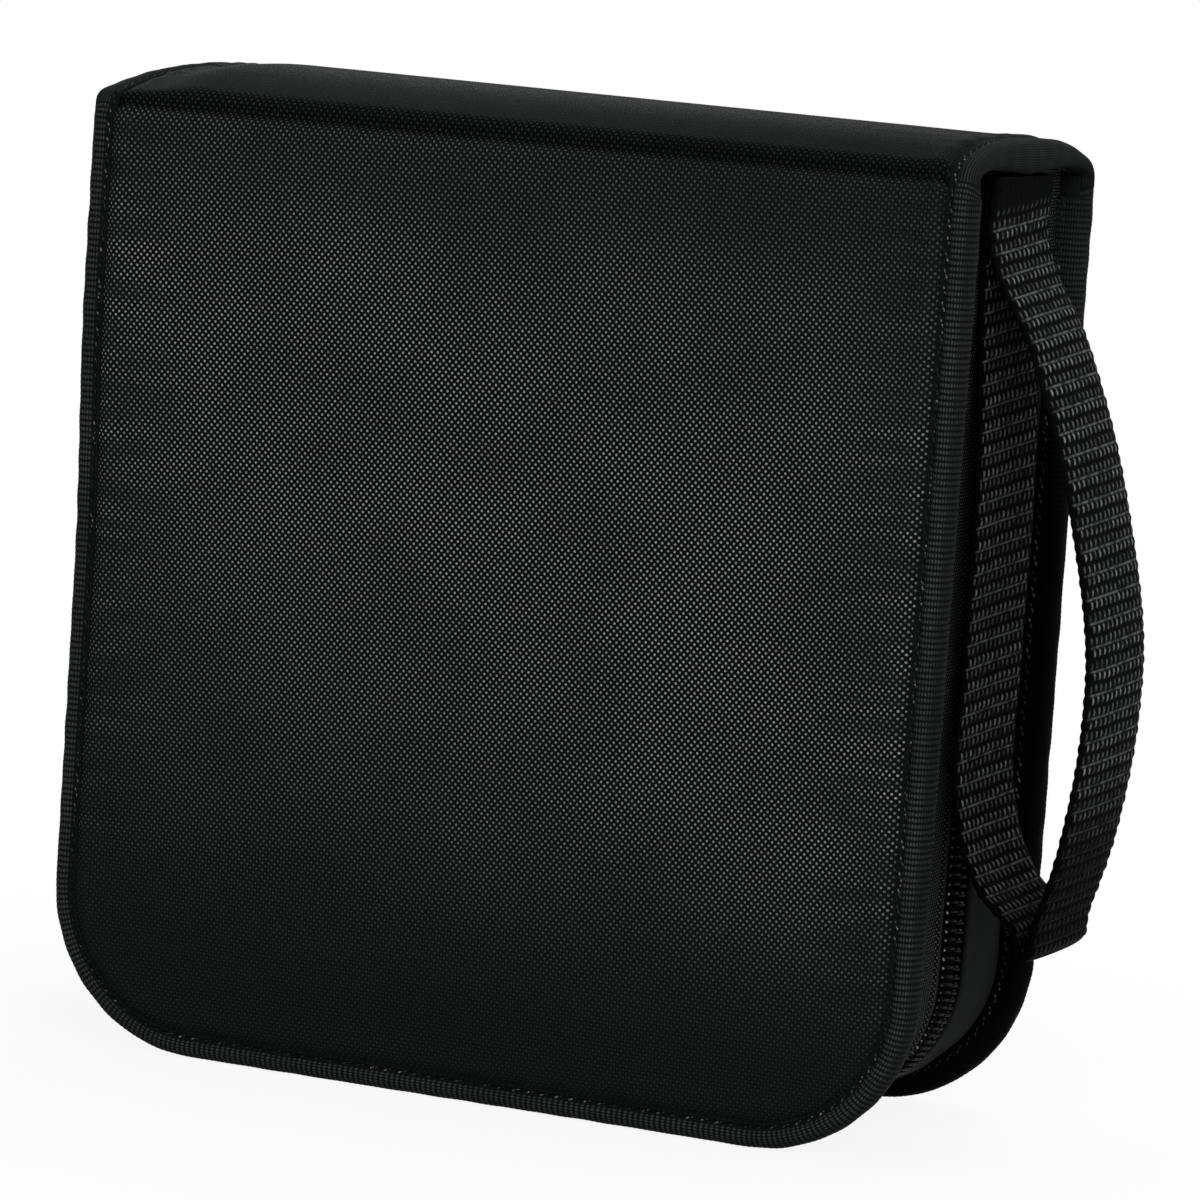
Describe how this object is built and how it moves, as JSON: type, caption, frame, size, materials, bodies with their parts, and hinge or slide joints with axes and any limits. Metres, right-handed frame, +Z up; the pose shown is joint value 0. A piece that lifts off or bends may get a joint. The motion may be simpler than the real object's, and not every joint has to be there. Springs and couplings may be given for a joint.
{
  "type": "cd storage case",
  "caption": "Zipped black nylon wallet for discs with stiff padded covers, an arched spine, taped edges, a closed zip and a webbing wrist loop.",
  "frame": {"origin": "on the floor under the centre of the whole outline, wrist strap included", "axes": "+Z up, +X along the spine towards the wrist strap, front cover at -Y, standing on the lower edges of both covers with the spine up"},
  "size_m": [0.1844, 0.062, 0.1712],
  "materials": {
    "ballistic_nylon": "black coarse basket-weave nylon, slight sheen",
    "gusset_cloth": "black fine plain-weave nylon",
    "edge_tape": "black ribbed grosgrain tape",
    "webbing": "black ribbed polypropylene webbing",
    "lining": "black matt lining",
    "zip_tape": "black woven zip tape",
    "board": "stiffener board, hidden",
    "coil": "black nylon coil",
    "slider_metal": "black enamelled zinc",
    "sleeve_film": "clear film pockets on dark non-woven leaves"
  },
  "bodies": {
    "back": {"back_cover_skin": "ballistic_nylon", "back_cover_board": "board", "back_cover_lining": "lining", "back_cover_binding": "edge_tape", "back_gusset": "gusset_cloth", "back_zip_tape": "zip_tape", "back_zip_coil": "coil"},
    "spine": {"spine_skin": "ballistic_nylon", "spine_board": "board", "spine_lining": "lining", "spine_binding_left": "edge_tape", "spine_binding_right": "edge_tape", "gusset_end_left": "gusset_cloth", "gusset_end_right": "gusset_cloth", "disc_sleeves": "sleeve_film", "sleeve_strip": "lining", "wrist_strap": "webbing"},
    "front": {"front_cover_skin": "ballistic_nylon", "front_cover_board": "board", "front_cover_lining": "lining", "front_cover_binding": "edge_tape", "front_gusset": "gusset_cloth", "front_zip_tape": "zip_tape", "front_zip_coil": "coil", "front_zip_end": "coil"},
    "slider": {"zip_slider": "slider_metal"},
    "pull_tab": {"zip_pull_tab": "slider_metal"}
  },
  "joints": [
    {"name": "spine_hinge", "type": "hinge", "parent": "back", "child": "spine", "pos_m": [-0.0107, 0.031, 0.165], "axis": [-1, 0, 0], "range_deg": [0, 90]},
    {"name": "front_cover_hinge", "type": "hinge", "parent": "spine", "child": "front", "pos_m": [-0.0107, -0.031, 0.165], "axis": [-1, 0, 0], "range_deg": [0, 90], "deforming": ["front_zip_end"]},
    {"name": "slider_slide", "type": "slide", "parent": "back", "child": "slider", "axis": [0, 0, -1], "range_m": [0, 0.11]},
    {"name": "pull_tab_hinge", "type": "hinge", "parent": "slider", "child": "pull_tab", "pos_m": [-0.0904, 0, 0.1446], "axis": [0, 1, 0], "range_deg": [0, 160]}
  ]
}
